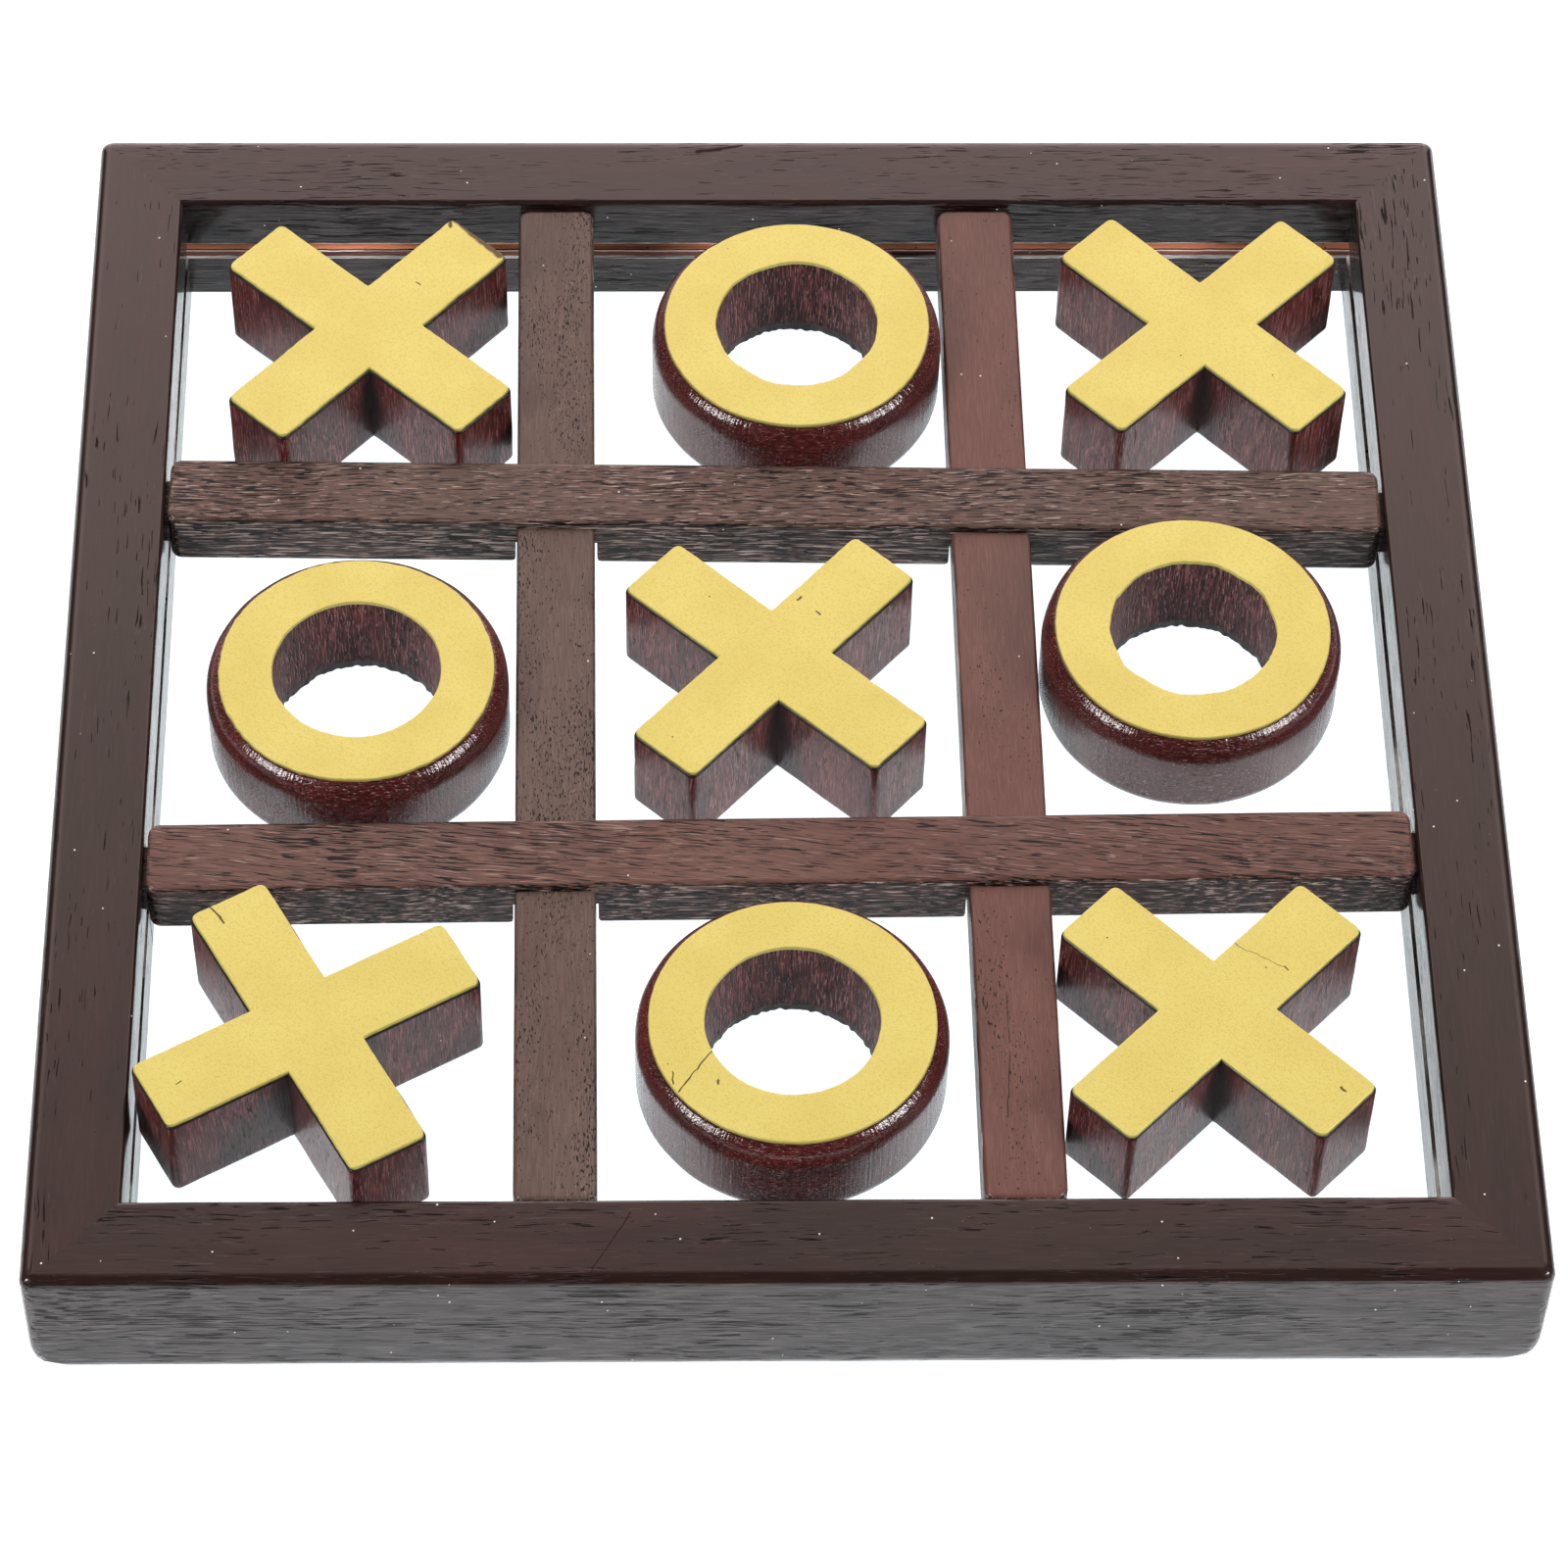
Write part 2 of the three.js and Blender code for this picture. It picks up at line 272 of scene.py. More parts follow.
    def around(self, place, rim):
        """Coordinates round an upright axis: the way round at the rim, and a small share of the height."""
        parts = self.add("ShaderNodeSeparateXYZ", {0: place}).outputs
        angle = self.math("ARCTAN2", parts[1], parts[0])
        way = self.math("MULTIPLY", angle, rim * MM)
        height = self.math("MULTIPLY", parts[2], 0.06)
        return self.add("ShaderNodeCombineXYZ", {0: way, 2: height}).outputs[0]

    def finish(self, surface):
        """Connects the surface to the output and returns the material."""
        self.add("ShaderNodeOutputMaterial", {"Surface": surface.outputs[0]})
        return self.material


def colour(red, green, blue):
    """A colour given as the eye sees it, from 0 to 255, in the linear values that shaders use."""
    def linear(value):
        share = value / 255
        return share / 12.92 if share <= 0.04045 else ((share + 0.055) / 1.055) ** 2.4
    return (linear(red), linear(green), linear(blue), 1.0)


def wood(name, look, grain, paint=None):
    """Lacquered wood, its grain along one axis: drifting tone, fibres, pores with painted glints beside them,
    and dust.
    """
    shader = Shader(name)
    straight = shader.place(look["own_place"])
    place = shader.bent(straight, look["bend"], BEND_SCALE)
    if look["slant"]:
        turned = {"Vector": place, "Rotation": (0.0, 0.0, look["slant"])}
        place = shader.add("ShaderNodeMapping", turned).outputs[0]

    def along(share, offset, shift=(0.0, 0.0, 0.0)):
        """Coordinates stretched along the grain, so that a texture runs that way; shifted in millimetres."""
        scale = [share if axis == grain else 1.0 for axis in "xyz"]
        location = tuple(offset + part * step * MM for part, step in zip(scale, shift))
        inputs = {"Vector": place, "Scale": tuple(scale), "Location": location}
        return shader.add("ShaderNodeMapping", inputs).outputs[0]

    normal = shader.add("ShaderNodeTexCoord").outputs["Normal"]
    upright = shader.math("ABSOLUTE", shader.add("ShaderNodeSeparateXYZ", {0: normal}).outputs[2])
    side = shader.ramp(upright, 0.8, 0.3)
    tone = shader.noise(along(0.2, 0.1), look["tone_scale"], 3.0, 0.6)
    fibres = shader.noise(along(look["fibre_stretch"], 0.5), look["fibre_scale"], 2.0, 0.6)
    patches = shader.noise(along(0.25, 0.9), look["patch_scale"], 2.0, 0.6)
    gather = shader.math("ADD", shader.math("MULTIPLY", patches, look["patch_depth"]),
                         shader.math("MULTIPLY", side, -look["side_pores"]))

    def pores(shift, level):
        """1 in open pores: dashes along the grain, gathered in patches."""
        field = shader.noise(along(look["pore_stretch"], 0.3, shift), look["pore_scale"], 1.0, 0.5)
        middle = level + 0.5 * look["patch_depth"]
        gathered = shader.math("ADD", field, gather)
        return shader.ramp(gathered, middle + look["pore_blur"], middle - look["pore_blur"])

    hollow = pores((0.0, 0.0, 0.0), look["pore_level"])
    # Painted highlights: the pores again, moved a little towards the light, are drawn pale beside each pore.
    painted_glint = pores(look["glint_shift"], look["pore_level"] + look["glint_spread"])
    base = shader.mix(shader.ramp(tone, 0.34, 0.66), look["dark"], look["light"])
    warm = shader.ramp(shader.noise(straight, STAIN_SCALE, 1.0), 0.35, 0.65)
    base = shader.mix(shader.math("MULTIPLY", warm, look["stain_depth"]), base, look["stain"])
    dull = shader.math("MULTIPLY", hollow, look["pore_depth"])
    if look["side_lines"]:
        lines = shader.noise(along(0.04, 0.2), SIDE_LINE_SCALE, 1.0, 0.5)
        amount = shader.math("MULTIPLY", side, look["side_lines"])
        dark_lines = shader.math("MULTIPLY", shader.ramp(lines, 0.5, 0.43), amount)
        # The pale lines on upright faces are painted glints, a painted reflection of the bright floor; the
        # dark lines are grain.
        glint_lines = shader.math("MULTIPLY", shader.ramp(lines, 0.59, 0.66), amount)
        base = shader.mix(dark_lines, base, look["pore"])
        base = shader.mix(glint_lines, base, look["painted_glint"])
        dull_lines = shader.math("MULTIPLY", dark_lines, SIDE_LINE_DULLNESS)
        dull = shader.math("MAXIMUM", dull, dull_lines)
    dark_fibres = shader.math("MULTIPLY", shader.ramp(fibres, 0.6, 0.36), look["fibre_dark"])
    # Pale fibres are grain streaks drawn in the glint colour: partly grain, partly a painted sheen on the
    # fibre ridges.
    fibre_grain_and_sheen = shader.math("MULTIPLY", shader.ramp(fibres, 0.5, 0.7), look["fibre_pale"])
    base = shader.mix(dark_fibres, base, look["pore"])
    base = shader.mix(fibre_grain_and_sheen, base, look["painted_glint"])
    # Painted glints: the moved pores in the pale glint colour, a painted highlight on each pore's lit edge.
    base = shader.mix(shader.math("MULTIPLY", painted_glint, look["glint_depth"]), base, look["painted_glint"])
    base = shader.mix(shader.math("MULTIPLY", hollow, look["pore_depth"]), base, look["pore"])
    if paint:
        base = paint(shader, base)
    base = shader.mix(shader.dots(straight, look["pit_spacing"], look["pit_radius"]), base, look["pore"])
    shifted = (0.2 * MM, 0.1 * MM, 0.1 * MM)
    nearby = shader.vector("ADD", straight, shifted)
    base = shader.mix(shader.dots(nearby, look["dust_spacing"], look["dust_radius"]), base, DUST_COLOUR)
    uneven = shader.noise(along(0.3, 0.7), look["ripple_scale"], 2.0, 0.5)
    height = shader.math("SUBTRACT", shader.math("MULTIPLY", fibres, look["fibre_height"]),
                         shader.math("MULTIPLY", hollow, look["pore_height"]))
    height = shader.math("ADD", height, shader.math("MULTIPLY", uneven, look["ripple_height"]))
    if look["comb_height"]:
        comb = shader.noise(shader.around(shader.place(), O_OUTER_RADIUS), COMB_SCALE, 2.0, 0.6)
        height = shader.math("ADD", height, shader.math("MULTIPLY", comb, look["comb_height"]))
    bump = shader.add("ShaderNodeBump", {"Strength": 1.0, "Distance": MM, "Height": height}).outputs[0]
    if look["nicks"]:
        cut = shader.strokes(shader.bent(straight, NICK_WANDER, WANDER_SCALE), look["nicks"])
        base = shader.mix(cut, base, look["nick"])
        dull = shader.math("MAXIMUM", dull, cut)
    coat = shader.math("MULTIPLY", shader.math("SUBTRACT", 1.0, dull), look["coat"])
    gloss = shader.math("ADD", look["roughness"], shader.math("MULTIPLY", fibres, 0.12))
    surface = shader.add("ShaderNodeBsdfPrincipled", {
        "Base Color": base, "Roughness": gloss, "Normal": bump, "Specular IOR Level": look["specular"],
        "Coat Weight": coat, "Coat Roughness": look["coat_roughness"], "Coat IOR": look["coat_ior"],
        "Coat Normal": bump,
    })
    return shader.finish(surface)


DUST_COLOUR = colour(236, 232, 228)

# Scales of the textures that every wood shares, in features to the metre.
BEND_SCALE = 90.0
STAIN_SCALE = 28.0
SIDE_LINE_SCALE = 4600.0
COMB_SCALE = 2300.0
WANDER_SCALE = 600.0

# How far lines wander off their course, in millimetres.
NICK_WANDER = 0.4
GROOVE_WANDER = 0.2

# How much of the coat a dark line on a side takes away.
SIDE_LINE_DULLNESS = 0.6

# Nicks in the wood: start, end and width of each, in millimetres on the board, placed to the nearest
# half millimetre.
FRAME_NICKS = [
    ((-8.0, 73.0), (-5.5, 73.5), 0.4), ((-5.5, 73.5), (-3.0, 74.0), 0.25),
    ((-15.5, -67.0), (-19.5, -74.0), 0.1), ((-65.5, -24.5), (-65.5, -24.0), 0.2),
]
BAR_NICKS = [((22.5, -40.5), (22.5, -46.5), 0.06), ((22.5, -48.0), (22.0, -55.5), 0.08)]

# In each look, the pale glint colour with its glint shift, spread and depth paints highlights by the pores,
# on side lines and on fibres: painted glints and sheen, not a colour of the wood.
FRAME_LOOK = {
    "own_place": False, "slant": 0.0, "bend": 1.2,
    "tone_scale": 220.0, "patch_scale": 160.0, "patch_depth": 0.5,
    "dark": colour(32, 16, 14), "light": colour(47, 25, 22),
    "pore": colour(5, 2, 2), "painted_glint": colour(100, 88, 86),
    "stain": colour(32, 24, 19), "stain_depth": 0.6, "side_pores": 0.05, "side_lines": 0.4,
    "fibre_stretch": 0.05, "fibre_scale": 4200.0, "fibre_height": 0.004,
    "fibre_dark": 0.1, "fibre_pale": 0.04,
    "pore_stretch": 0.04, "pore_scale": 5200.0, "pore_level": 0.33, "pore_blur": 0.02, "pore_depth": 0.9,
    "pore_height": 0.06, "glint_shift": (0.0, 0.12, 0.12), "glint_spread": -0.03, "glint_depth": 0.25,
    "pit_spacing": 2.2, "pit_radius": 0.12, "dust_spacing": 2.8, "dust_radius": 0.11,
    "ripple_scale": 350.0, "ripple_height": 0.015, "comb_height": 0.0,
    "roughness": 0.4, "specular": 0.1, "coat": 0.78, "coat_roughness": 0.13, "coat_ior": 1.5,
    "nicks": FRAME_NICKS, "nick": colour(44, 20, 17),
}
BAR_LOOK = {
    "own_place": False, "slant": 0.0, "bend": 1.2,
    "tone_scale": 160.0, "patch_scale": 150.0, "patch_depth": 0.35,
    "dark": colour(89, 70, 61), "light": colour(104, 82, 72),
    "pore": colour(9, 4, 4), "painted_glint": colour(200, 180, 168),
    "stain": colour(92, 64, 55), "stain_depth": 0.6, "side_pores": 0.04, "side_lines": 1.0,
    "fibre_stretch": 0.06, "fibre_scale": 5600.0, "fibre_height": 0.015,
    "fibre_dark": 0.35, "fibre_pale": 0.06,
    "pore_stretch": 0.07, "pore_scale": 6000.0, "pore_level": 0.405, "pore_blur": 0.01, "pore_depth": 1.0,
    "pore_height": 0.05, "glint_shift": (0.0, 0.13, 0.13), "glint_spread": -0.07, "glint_depth": 0.5,
    "pit_spacing": 3.2, "pit_radius": 0.1, "dust_spacing": 3.6, "dust_radius": 0.11,
    "ripple_scale": 400.0, "ripple_height": 0.02, "comb_height": 0.0,
    "roughness": 0.5, "specular": 0.35, "coat": 0.3, "coat_roughness": 0.22, "coat_ior": 1.5, "nicks": (),
}
FRONT_BAR_LOOK = {
    **BAR_LOOK, "slant": 0.1,
    "dark": colour(98, 68, 59), "light": colour(115, 84, 74), "stain": colour(98, 62, 53),
    "pore_stretch": 0.045, "pore_level": 0.39, "side_pores": 0.05,
    "glint_spread": -0.08, "glint_depth": 0.3, "fibre_pale": 0.03,
}
LEFT_BAR_LOOK = {
    **BAR_LOOK, "dark": colour(85, 68, 59), "light": colour(98, 80, 71), "stain": colour(86, 64, 55),
    "pore_stretch": 0.3, "pore_scale": 5600.0, "pore_level": 0.33, "fibre_dark": 0.25, "fibre_pale": 0.03,
    "patch_depth": 0.5, "glint_depth": 0.15, "glint_shift": (0.07, 0.12, 0.12),
}
RIGHT_BAR_LOOK = {
    **LEFT_BAR_LOOK, "dark": colour(98, 66, 58), "light": colour(112, 77, 68), "stain": colour(102, 63, 54),
    "pore_level": 0.24, "fibre_dark": 0.15, "nicks": BAR_NICKS, "nick": colour(34, 16, 14),
}
PIECE_LOOK = {
    "own_place": True, "slant": 0.0, "bend": 0.8,
    "tone_scale": 240.0, "patch_scale": 260.0, "patch_depth": 0.2,
    "dark": colour(84, 24, 20), "light": colour(116, 38, 34),
    "pore": colour(14, 4, 4), "painted_glint": colour(212, 162, 160),
    "stain": colour(88, 30, 27), "stain_depth": 0.3, "side_pores": 0.0, "side_lines": 0.0,
    "fibre_stretch": 0.05, "fibre_scale": 6000.0, "fibre_dark": 0.55, "fibre_pale": 0.3, "fibre_height": 0.03,
    "pore_stretch": 0.1, "pore_scale": 7000.0, "pore_level": 0.35, "pore_blur": 0.02, "pore_depth": 0.85,
    "pore_height": 0.05, "glint_shift": (0.09, 0.09, 0.07), "glint_spread": -0.03, "glint_depth": 0.35,
    "pit_spacing": 3.2, "pit_radius": 0.1, "dust_spacing": 4.5, "dust_radius": 0.1,
    "ripple_scale": 500.0, "ripple_height": 0.03, "comb_height": 0.0,
    "roughness": 0.42, "specular": 0.25, "coat": 0.5, "coat_roughness": 0.24, "coat_ior": 1.5, "nicks": (),
}
RING_LOOK = {
    **PIECE_LOOK, "glint_depth": 0.5, "pore_stretch": 0.25, "fibre_stretch": 0.15, "fibre_pale": 0.1,
    "comb_height": 0.08, "coat": 0.75, "coat_roughness": 0.06, "coat_ior": 1.75, "specular": 0.1,
    "dark": colour(70, 19, 17), "light": colour(98, 32, 29),
}
HOLE_LOOK = {
    **PIECE_LOOK, "dark": colour(78, 24, 24), "light": colour(118, 44, 44), "roughness": 0.55, "coat": 0.15,
    "glint_depth": 0.4, "pore_level": 0.4, "pore_stretch": 0.15, "pore_scale": 5000.0, "fibre_dark": 0.8,
}

# The inside of the glass groove, seen through the glass: how far out each stripe starts, and its colour.
# The pale stripes are painted glints along the glass edges, the pinkish one a painted reflection of the bare
# wood in the glass,
# the nearly black one a painted shadow line, and the last one the bare red-brown wood itself.
GROOVE_STRIPES = [
    (64.0, colour(246, 238, 236)), (65.75, colour(134, 90, 80)), (66.4, colour(246, 236, 234)),
    (66.55, colour(20, 11, 9)), (66.75, colour(205, 130, 95)),
]


def groove_wood_and_painted_light(shader, base):
    """Colours the inside of the glass groove: painted glints, reflection and shadow by the glass, and bare
    red-brown wood deeper in.
    """
    wandering = shader.bent(shader.place(), GROOVE_WANDER, WANDER_SCALE)
    parts = shader.add("ShaderNodeSeparateXYZ", {0: wandering})
    sideways, lengthways = (shader.math("ABSOLUTE", parts.outputs[axis]) for axis in (0, 1))
    reach = shader.math("MAXIMUM", sideways, lengthways)
    inside = shader.math("LESS_THAN", reach, GROOVE_REACH * MM)
    above = shader.math("GREATER_THAN", parts.outputs[2], GROOVE_LOW * MM)
    below = shader.math("LESS_THAN", parts.outputs[2], GROOVE_HIGH * MM)
    mask = shader.math("MULTIPLY", inside, shader.math("MULTIPLY", above, below))
    bare = GROOVE_STRIPES[0][1]
    # Each stripe in turn: painted glints, a painted reflection and a painted shadow line, then the bare wood.
    for start, tint in GROOVE_STRIPES[1:]:
        bare = shader.mix(shader.math("GREATER_THAN", reach, start * MM), bare, tint)
    return shader.mix(mask, base, bare)


def dark_rim(shader, base):
    """Darkens the wood close under the gold face."""
    height = shader.add("ShaderNodeSeparateXYZ", {0: shader.place()}).outputs[2]
    return shader.mix(shader.ramp(height, 10.85 * MM, 11.0 * MM), base, colour(26, 9, 8))


def dark_foot(shader, base):
    """Darkens the lower edge of a hole."""
    height = shader.add("ShaderNodeSeparateXYZ", {0: shader.place()}).outputs[2]
    return shader.mix(shader.ramp(height, 2.6 * MM, 0.6 * MM), base, colour(30, 9, 9))


def painted_corner_shade(shader, base):
    """Paints shade into the inner corners of an X, and darkens its rim close under the gold face."""
    parts = shader.add("ShaderNodeSeparateXYZ", {0: shader.place()})
    gaps = []
    for axis in (0, 1):
        out = shader.math("ABSOLUTE", parts.outputs[axis])
        from_side = shader.math("SUBTRACT", out, X_ARM_WIDTH / 2 * MM)
        gaps.append(shader.math("ABSOLUTE", from_side))
    far = shader.math("ADD", gaps[0], gaps[1])
    # Painted shade in the inner corners between the arms, fading out over about 2.6 mm.
    base = shader.mix(shader.ramp(far, 2.6 * MM, 0.3 * MM), base, colour(56, 17, 15))
    return dark_rim(shader, base)


def gold(name, marks=()):
    """Satin pale gold with a very fine grain, a slightly uneven tone, a few pits and any cracks given."""
    shader = Shader(name)
    place = shader.place(own=True)
    grain = shader.noise(place, 4200.0, 2.0, 0.6)
    drift = shader.noise(place, 140.0, 2.0)
    base = shader.mix(shader.ramp(drift, 0.3, 0.7), colour(209, 199, 107), colour(214, 206, 116))
    grain_depth = shader.math("MULTIPLY", shader.ramp(grain, 0.52, 0.34), 0.4)
    base = shader.mix(grain_depth, base, colour(190, 174, 80))
    dark = shader.dots(place, 3.8, 0.1)
    if marks:
        wandering = shader.bent(shader.place(), 0.5, 900.0)
        dark = shader.math("MAXIMUM", dark, shader.strokes(wandering, marks))
    base = shader.mix(shader.math("MULTIPLY", dark, 0.9), base, colour(60, 32, 18))
    grain_height = shader.math("MULTIPLY", grain, 0.02)
    height = shader.math("SUBTRACT", grain_height, shader.math("MULTIPLY", dark, 0.06))
    bump = shader.add("ShaderNodeBump", {"Strength": 1.0, "Distance": MM, "Height": height}).outputs[0]
    surface = shader.add("ShaderNodeBsdfPrincipled", {
        "Base Color": base, "Metallic": 0.3, "Roughness": 0.42, "Normal": bump,
    })
    return shader.finish(surface)


def clear_glass(name):
    """Clear glass that lets the light of lamps through to the floor."""
    shader = Shader(name)
    glass = shader.add("ShaderNodeBsdfPrincipled", {
        "Base Color": (0.97, 0.99, 0.985, 1.0), "Roughness": 0.0, "IOR": 1.45, "Transmission Weight": 1.0,
    })
    open_way = shader.add("ShaderNodeBsdfTransparent", {"Color": (0.95, 0.97, 0.96, 1.0)})
    lamp_ray = shader.add("ShaderNodeLightPath").outputs["Is Shadow Ray"]
    surface = shader.add("ShaderNodeMixShader", {0: lamp_ray, 1: glass.outputs[0], 2: open_way.outputs[0]})
    return shader.finish(surface)


# ---------------------------------------------------------------------------------------------
# Board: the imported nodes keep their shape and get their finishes
# ---------------------------------------------------------------------------------------------
def dress(node, material):
    """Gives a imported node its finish, and smooth normals across its rounded edges."""
    piece = NODES[node]
    piece.data.materials.clear()
    piece.data.materials.append(material)
    piece.data.shade_smooth()
    weld = piece.modifiers.new("weld", "WELD")
    weld.merge_threshold = 1e-6
    creases = piece.modifiers.new("creases", "EDGE_SPLIT")
    creases.split_angle = math.radians(BOARD_CREASE)
    keep_flats_flat(piece)


frame_wood = {
    "x": wood("frame_wood_x", FRAME_LOOK, "x", groove_wood_and_painted_light),
    "y": wood("frame_wood_y", {**FRAME_LOOK, "pore_level": 0.26}, "y", groove_wood_and_painted_light),
}
for side, grain, look in (("front", "x", FRONT_BAR_LOOK), ("rear", "x", BAR_LOOK),
                          ("left", "y", LEFT_BAR_LOOK), ("right", "y", RIGHT_BAR_LOOK)):
    dress(f"frame_rail_{side}", frame_wood[grain])
    dress(f"grid_bar_{side}", wood(f"bar_wood_{side}", look, grain))
dress("glass_panel", clear_glass("clear_glass"))


# ---------------------------------------------------------------------------------------------
# Playing pieces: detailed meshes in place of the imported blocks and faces
# ---------------------------------------------------------------------------------------------
def x_corners(length, width, tip_reach):
    """The corners of an X whose arms lie along the axes, anticlockwise; its inner corners are sharp."""
    corners = []
    for quarter in range(4):
        turn = Matrix.Rotation(quarter * math.pi / 2, 2)
        for x, y, reach in ((length / 2, -width / 2, tip_reach), (length / 2, width / 2, tip_reach),
                            (width / 2, width / 2, 0)):
            corner = turn @ Vector((x, y))
            corners.append((corner.x, corner.y, reach))
    return corners


def x_block(name, seed, height, material):
    """A wooden X with softened edges and slightly uneven sawn sides."""
    corners = x_corners(X_LENGTH, X_ARM_WIDTH, X_TIP_RADIUS)
    loop = subdivided(rounded_loop(corners, CORNER_STEPS), OUTLINE_SPACING)
    foot = [(0, 0.32), (0.08, 0.14), (0.3, 0.02), (0.6, 0)]
    side = [(2.2, 0), (4.5, 0), (6.8, 0), (9, 0)]
    rim = [(height - 0.3, 0), (height - 0.12, 0.03), (height - 0.03, 0.1), (height, 0.2)]
    loops = []
    for z, inset in foot + side + rim:
        moved = inset_loop(loop, lambda point: inset + 0.1 * waviness(point.x, point.y, z, seed, 3))
        loops.append([(point.x, point.y, z) for point in moved])
    return stacked(name, loops, material)


def x_face(name, seed, thickness, raggedness, material):
    """The gold face of an X, with a slightly torn edge that turns over a little."""
    corners = x_corners(X_LENGTH - 2 * FACE_INSET, X_ARM_WIDTH - 2 * FACE_INSET, X_TIP_RADIUS)
    loop = subdivided(rounded_loop(corners, CORNER_STEPS), OUTLINE_SPACING)
    loops = []
    for z, inset in ((0, 0), (0.6 * thickness, 0), (0.85 * thickness, 0.04), (thickness, 0.14)):
        def ragged(point):
            fine = waviness(point.x, point.y, 0, seed, 0.8)
            coarse = waviness(point.x, point.y, 0, seed + 9, 4)
            return inset + raggedness * (0.5 * fine + coarse ** 3)
        loops.append([(point.x, point.y, z) for point in inset_loop(loop, ragged)])
    return stacked(name, loops, material)


def o_block(name, seed, height, material, hole_material):
    """A wooden ring with a soft shoulder, a rounded foot and a hole that is cut a little unevenly."""
    profile = rounded_loop([
        (O_HOLE_RADIUS, 0, 0.2), (O_FACE_RADIUS + 0.05, 0, 0.5), (O_OUTER_RADIUS, 1.5, 0.8),
        (O_OUTER_RADIUS, height - 1.9, 0.8), (O_OUTER_RADIUS - 0.5, height - 0.6, 0.55),
        (O_FACE_RADIUS + 0.05, height, 0.2), (O_HOLE_RADIUS, height, 0.1), (O_HOLE_RADIUS, 1.5, 0.4),
    ], CORNER_STEPS)
    middle = (O_HOLE_RADIUS + O_OUTER_RADIUS) / 2

    def shift(radius, z, angle):
        x, y = radius * math.cos(angle), radius * math.sin(angle)
        if radius < middle:
            torn = max(0.0, 1 - z / 1.5) * waviness(x, y, 0, seed + 3, 0.6)
            return 0.22 * waviness(x, y, 0.3 * z, seed, 2.2) + 0.5 * torn
        return -0.12 * waviness(x, y, z, seed, 4)
    return revolved(name, [(point.x, point.y) for point in profile], shift, material, hole_material)


def o_face(name, seed, thickness, raggedness, hole_raggedness, material):
    """The gold face of a ring, with edges cut by hand."""
    profile = rounded_loop([
        (O_HOLE_RADIUS, 0, 0.02), (O_FACE_RADIUS, 0, 0.02),
        (O_FACE_RADIUS, thickness, 0.14), (O_HOLE_RADIUS, thickness, 0.14),
    ], 3)
    middle = (O_HOLE_RADIUS + O_FACE_RADIUS) / 2

    def shift(radius, z, angle):
        x, y = math.cos(angle), math.sin(angle)
        if radius < middle:
            coarse = waviness(x, y, 0, seed, 0.45)
            fine = waviness(x, y, 0, seed + 5, 0.08)
            return 0.1 + hole_raggedness * (1.6 * coarse + 0.4 * fine - 1.1)
        return -raggedness * (0.6 * waviness(x, y, 0, seed, 0.07) + waviness(x, y, 0, seed + 7, 0.5) ** 2)
    return revolved(name, [(point.x, point.y) for point in profile], shift, material)


def place_piece(piece, cell, part, kind, turn):
    """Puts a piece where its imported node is, turned as it is, and makes it stand for the node."""
    node = f"{kind}_{part}_{cell}"
    low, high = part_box(node)
    piece.location = ((low.x + high.x) / 2, (low.y + high.y) / 2, low.z)
    piece.rotation_euler.z = math.radians(turn)
    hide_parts(node)
    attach(piece, f"{kind}_piece_{cell}")


def node_height(node):
    """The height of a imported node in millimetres."""
    low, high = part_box(node)
    return (high.z - low.z) / MM


x_wood = wood("x_wood", PIECE_LOOK, "z", painted_corner_shade)
o_wood = wood("o_wood", RING_LOOK, "x")
hole_wood = wood("hole_wood", HOLE_LOOK, "z", dark_foot)
plain_gold = gold("gold_face")

# Cracks, scratches and specks in the gold faces: start, end and width of each line, in millimetres from
# the middle of the piece and along its own axes, placed to the nearest half millimetre.
GOLD_MARKS = {
    "o_front_middle": [((-8.0, -3.5), (-11.5, -8.5), 0.11), ((-12.0, -6.0), (-12.0, -7.5), 0.1),
                       ((-7.5, -7.0), (-7.5, -7.5), 0.14)],
    "x_rear_left": [((17.5, 3.5), (17.0, -3.5), 0.6), ((17.0, 4.0), (16.5, 3.5), 0.3),
                    ((8.0, 0.5), (8.0, 0.0), 0.12)],
    "x_front_left": [((-2.0, 17.5), (-1.5, 15.0), 0.13), ((-14.5, 0.0), (-14.0, 0.0), 0.1)],
    "x_front_right": [((1.5, -15.0), (1.5, -15.5), 0.2), ((7.0, 4.5), (8.5, -2.0), 0.04),
                      ((8.5, -1.5), (8.5, -2.0), 0.12)],
    "x_centre": [((7.0, 3.0), (7.5, 3.0), 0.16), ((7.0, 0.5), (7.0, 0.0), 0.16)],
}


def marked_gold(kind, cell):
    """The gold of a face: the plain one, or one with the piece's own marks."""
    marks = GOLD_MARKS.get(f"{kind}_{cell}")
    return gold(f"gold_face_{kind}_{cell}", marks) if marks else plain_gold


# Each X: its cell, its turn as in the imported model, and how ragged the edge of its gold face is.
X_PIECES = [
    ("rear_left", 47.3, 0.22), ("rear_right", 44.3, 0.1), ("centre", 47.7, 0.16),
    ("front_left", 29.4, 0.12), ("front_right", 45.4, 0.1),
]
for number, (cell, turn, raggedness) in enumerate(X_PIECES):
    block = x_block(f"wooden_x_{cell}", 10 + number, node_height(f"x_block_{cell}"), x_wood)
    place_piece(block, cell, "block", "x", turn)
    face = x_face(f"gold_x_{cell}", 30 + number, node_height(f"x_face_{cell}"), raggedness,
                  marked_gold("x", cell))
    place_piece(face, cell, "face", "x", turn)

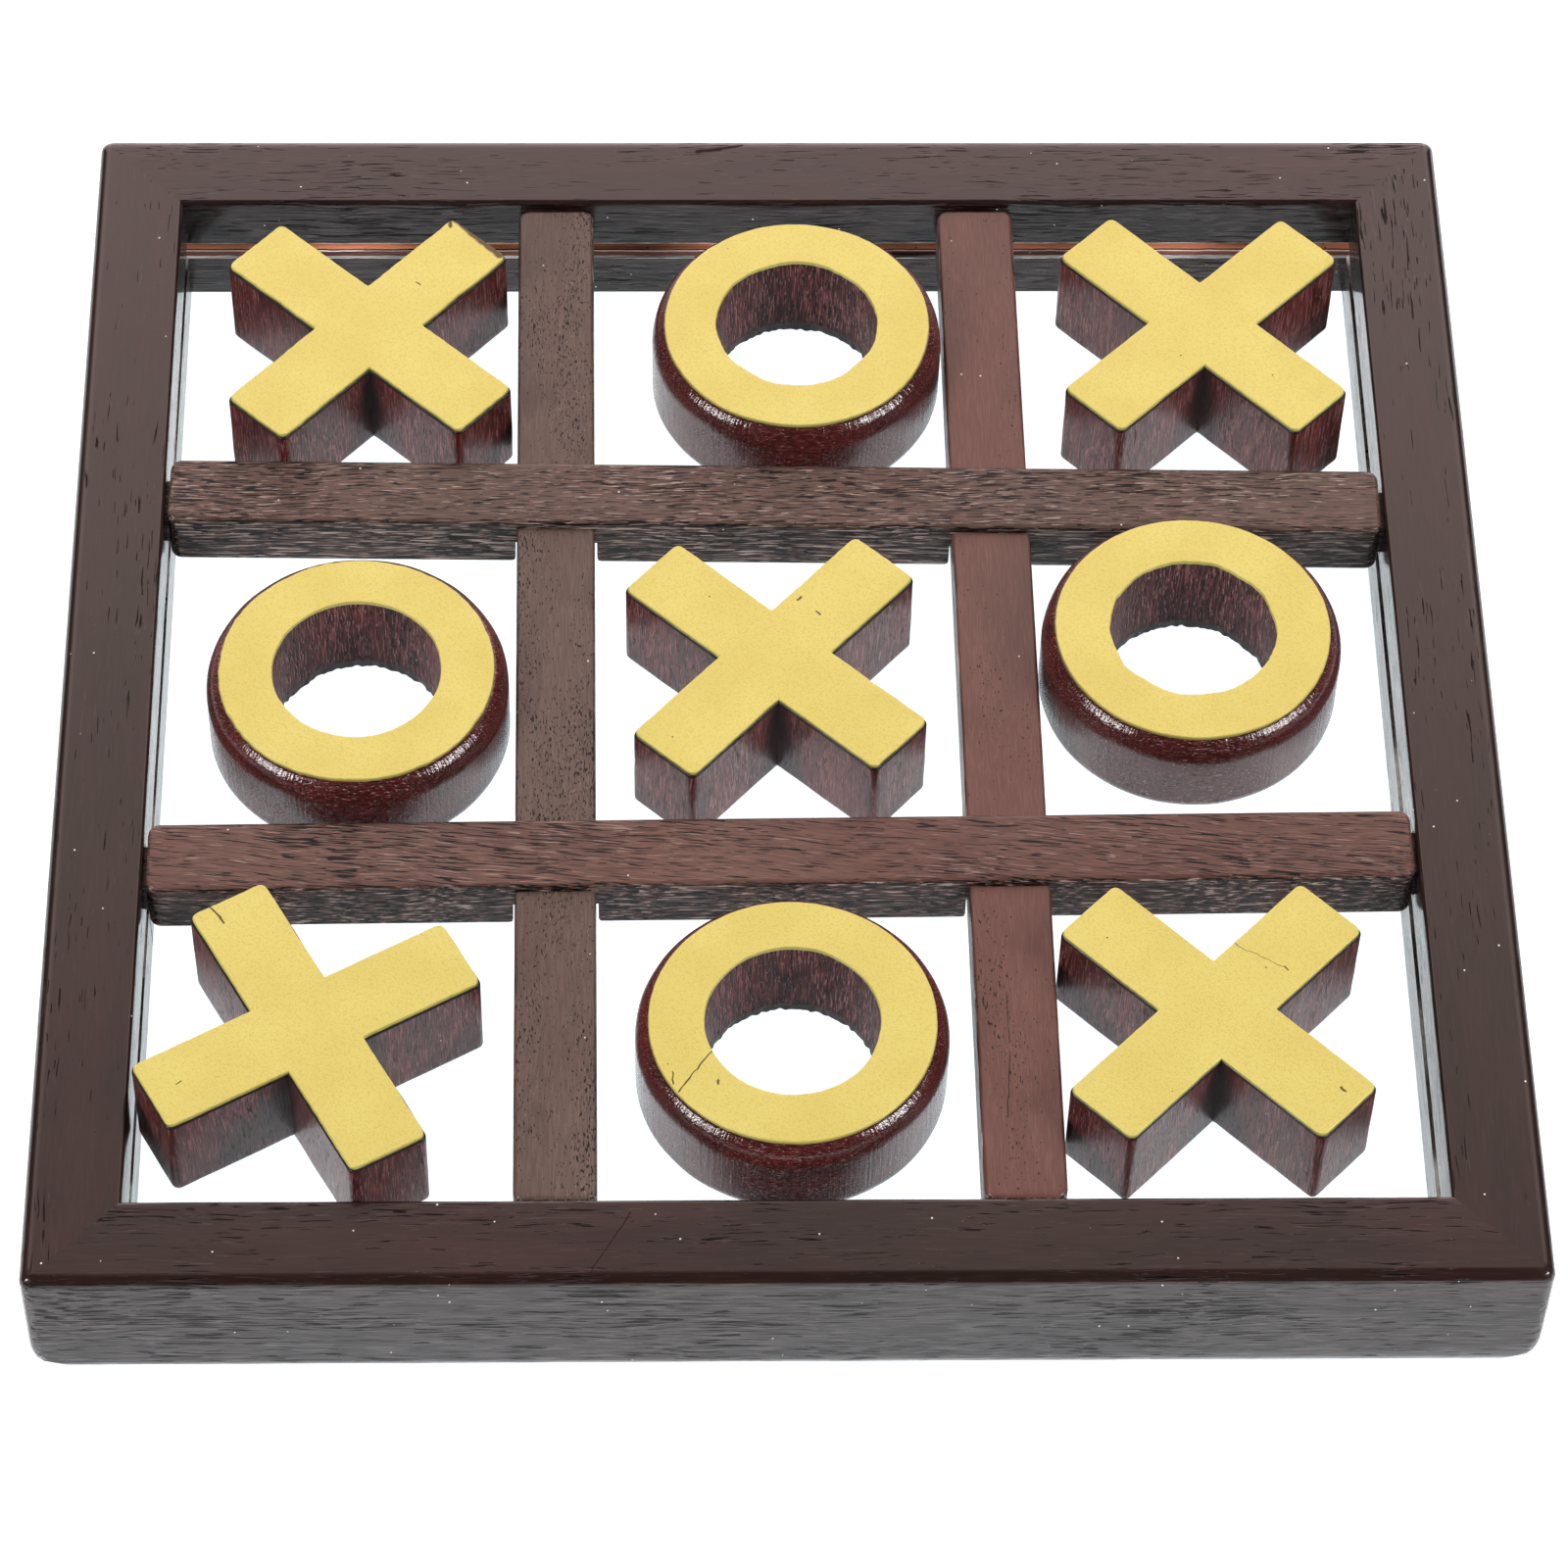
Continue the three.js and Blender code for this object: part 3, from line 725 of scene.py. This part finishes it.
# Each O: its cell, and how ragged the outer edge and the hole of its gold face are.
O_PIECES = [
    ("rear_middle", 0.15, 0.3), ("middle_left", 0.3, 0.15),
    ("middle_right", 0.12, 0.45), ("front_middle", 0.12, 0.12),
]
for number, (cell, raggedness, hole_raggedness) in enumerate(O_PIECES):
    block = o_block(f"wooden_o_{cell}", 50 + number, node_height(f"o_block_{cell}"), o_wood, hole_wood)
    place_piece(block, cell, "block", "o", 0)
    face = o_face(f"gold_o_{cell}", 70 + number, node_height(f"o_face_{cell}"), raggedness, hole_raggedness,
                  marked_gold("o", cell))
    place_piece(face, cell, "face", "o", 0)


# ---------------------------------------------------------------------------------------------
# Floor, light and camera
# ---------------------------------------------------------------------------------------------
def make_floor():
    """A plain pale floor that glows a little, like a lit white table."""
    shader = Shader("white_floor")
    surface = shader.add("ShaderNodeBsdfPrincipled", {
        "Base Color": (0.5, 0.5, 0.5, 1.0), "Roughness": 0.9,
        "Emission Color": (0.95, 1.02, 1.07, 1.0), "Emission Strength": 1.1,
    })
    side = 2000
    below = -0.05
    corners = [(-side, -side, below), (side, -side, below), (side, side, below), (-side, side, below)]
    mesh_object("floor", corners, [[0, 1, 2, 3]], shader.finish(surface))


# How bright the surroundings are: the wall behind the object, the ceiling, and everything else.
WALL_STRENGTH = 3.0
CEILING_STRENGTH = 0.3
DIM_STRENGTH = 0.05


def make_world():
    """Dim surroundings with one bright warm wall behind the object, fading out towards the ceiling."""
    world = bpy.data.worlds.new("soft_white")
    bpy.context.scene.world = world
    world.use_nodes = True
    tree = world.node_tree
    tree.nodes.clear()
    direction = tree.nodes.new("ShaderNodeTexCoord").outputs["Generated"]
    parts = tree.nodes.new("ShaderNodeSeparateXYZ")
    tree.links.new(direction, parts.inputs[0])

    def between(value, low, high, to_low, to_high):
        """A value that goes smoothly from to_low to to_high as the given one goes from low to high."""
        node = tree.nodes.new("ShaderNodeMapRange")
        node.interpolation_type = "SMOOTHSTEP"
        tree.links.new(value, node.inputs["Value"])
        for name, number in (("From Min", low), ("From Max", high)):
            node.inputs[name].default_value = number
        for name, number in (("To Min", to_low), ("To Max", to_high)):
            if isinstance(number, bpy.types.NodeSocket):
                tree.links.new(number, node.inputs[name])
            else:
                node.inputs[name].default_value = number
        return node.outputs[0]

    across = tree.nodes.new("ShaderNodeMath")
    across.operation = "ABSOLUTE"
    tree.links.new(parts.outputs[0], across.inputs[0])
    low_enough = between(parts.outputs[2], 0.66, 0.95, WALL_STRENGTH, CEILING_STRENGTH)
    narrow_enough = between(across.outputs[0], 0.35, 0.65, low_enough, DIM_STRENGTH)
    strength = between(parts.outputs[1], 0.2, 0.55, DIM_STRENGTH, narrow_enough)
    background = tree.nodes.new("ShaderNodeBackground")
    background.inputs["Color"].default_value = (1.0, 0.79, 0.75, 1.0)
    tree.links.new(strength, background.inputs["Strength"])
    output = tree.nodes.new("ShaderNodeOutputWorld")
    tree.links.new(background.outputs[0], output.inputs["Surface"])


# The two strip lamps, in metres and watts.
STRIP_WIDTH = 0.12
STRIP_HEIGHT = 0.5
STRIP_POWER = 6.5


def strip_light(name, position, width, height, power):
    """A tall soft lamp at a position in metres, facing the middle of the board."""
    data = bpy.data.lights.new(name, "AREA")
    data.shape = "RECTANGLE"
    data.size = width
    data.size_y = height
    data.energy = power
    lamp = bpy.data.objects.new(name, data)
    lamp.location = position
    lamp.rotation_euler = (-Vector(position)).to_track_quat("-Z", "Y").to_euler()
    bpy.context.scene.collection.objects.link(lamp)


def make_camera():
    """A long lens in front of the board, looking down on it at about 54 degrees and rolled a little."""
    place = Vector((-13.0, -368.0, 499.0)) * MM
    aim = Vector((0.8, -3.3, 0.0)) * MM
    roll = math.radians(1.6)
    data = bpy.data.cameras.new("camera")
    data.sensor_width = 36.0
    data.lens = 132.8
    data.clip_start = 0.05
    data.clip_end = 20.0
    camera = bpy.data.objects.new("camera", data)
    facing = (aim - place).to_track_quat("-Z", "Y").to_matrix().to_4x4()
    camera.matrix_world = Matrix.Translation(place) @ facing @ Matrix.Rotation(roll, 4, "Z")
    bpy.context.scene.collection.objects.link(camera)
    bpy.context.scene.camera = camera


make_floor()
make_world()
for name, position in (("strip_left", (-0.74, -0.38, 0.62)), ("strip_right", (0.79, -0.32, 0.58))):
    strip_light(name, position, STRIP_WIDTH, STRIP_HEIGHT, STRIP_POWER)
make_camera()
bpy.context.scene.view_settings.view_transform = "Standard"
